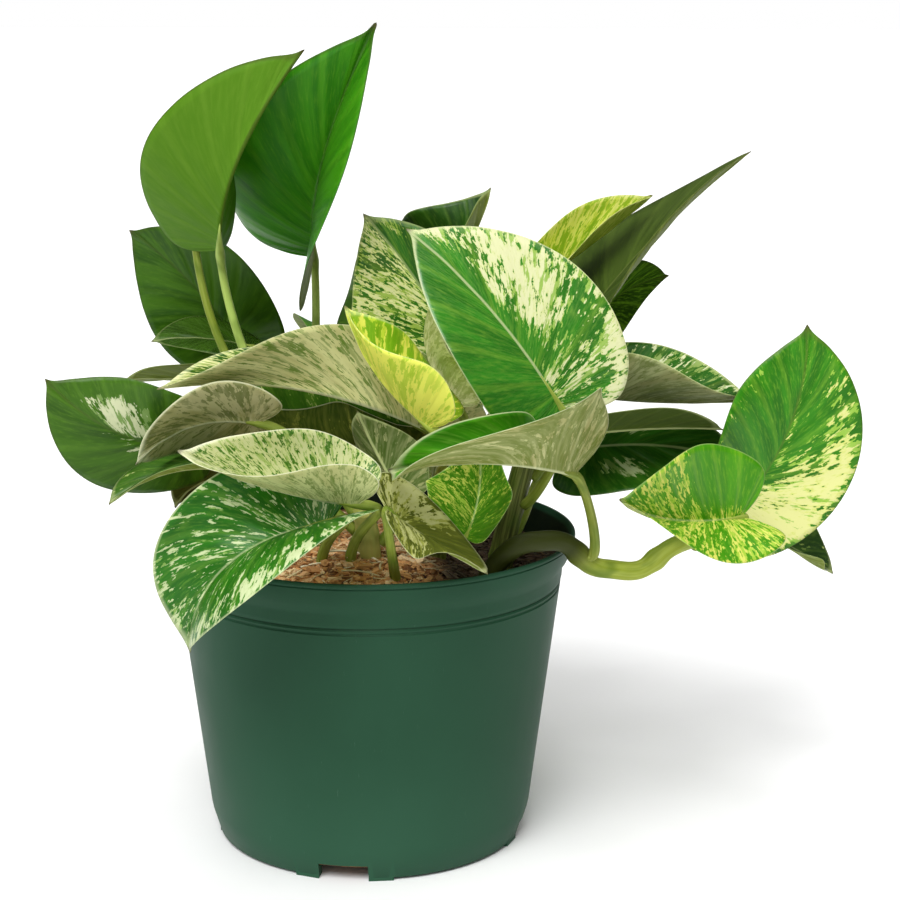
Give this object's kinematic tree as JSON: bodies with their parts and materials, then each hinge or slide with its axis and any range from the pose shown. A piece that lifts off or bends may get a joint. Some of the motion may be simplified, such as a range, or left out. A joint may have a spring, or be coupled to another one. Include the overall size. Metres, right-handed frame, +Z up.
{
  "type": "potted pothos plant",
  "caption": "Variegated trailing pothos growing in a tapered round nursery pot, its heart-shaped leaves rising from the soil on long stalks and one vine hanging over the rim.",
  "frame": {"origin": "on the ground under the centre of the pot, which rests on its foot pads", "axes": "+Z up along the pot's axis; -Y is the plant's front, with the trailing vine to the +X side"},
  "size_m": [0.2962, 0.2448, 0.2991],
  "materials": {
    "pot_plastic": "satin moulded plastic, dark green",
    "soil_mix": "loose bark and coir chips with fibres",
    "stem_skin": "smooth living skin, satin",
    "leaf_green": "waxy living leaf, plain green, satin",
    "leaf_variegated": "waxy living leaf, green marbled with cream, satin"
  },
  "bodies": {
    "root": {"pot": "pot_plastic", "soil": "soil_mix", "stem_left": "stem_skin", "stem_front": "stem_skin", "stem_middle": "stem_skin", "stem_right": "stem_skin", "stem_back": "stem_skin", "vine_trailing": "stem_skin", "leaf_top_left": "leaf_green", "leaf_top_middle": "leaf_green", "leaf_back_left_dark": "leaf_green", "leaf_left_glossy": "leaf_green", "leaf_left_under": "leaf_green", "leaf_far_left": "leaf_variegated", "leaf_left_low": "leaf_variegated", "leaf_left_turned": "leaf_green", "leaf_centre_long": "leaf_variegated", "leaf_young_lime": "leaf_variegated", "leaf_young_rolled": "leaf_variegated", "leaf_centre_cream": "leaf_variegated", "leaf_centre_main": "leaf_variegated", "leaf_back_hooked": "leaf_green", "leaf_back_lime": "leaf_variegated", "leaf_right_pointed": "leaf_green", "leaf_right_dark": "leaf_green", "leaf_right_marbled": "leaf_variegated", "leaf_right_narrow": "leaf_green", "leaf_right_broad": "leaf_variegated", "leaf_vine_upright": "leaf_variegated", "leaf_vine_front": "leaf_variegated", "leaf_vine_low": "leaf_variegated", "leaf_front_folded": "leaf_variegated", "leaf_front_round": "leaf_variegated", "leaf_front_hanging": "leaf_variegated", "leaf_front_cream": "leaf_variegated", "leaf_front_over_rim": "leaf_variegated", "leaf_centre_cupped": "leaf_variegated", "leaf_left_shaded": "leaf_green", "leaf_centre_sliver": "leaf_green", "leaf_centre_low": "leaf_variegated", "leaf_top_left_behind": "leaf_green", "leaf_rear_left": "leaf_variegated", "leaf_rear_middle": "leaf_green", "leaf_rear_right": "leaf_variegated", "leaf_rear_hanging": "leaf_variegated"}
  },
  "joints": []
}
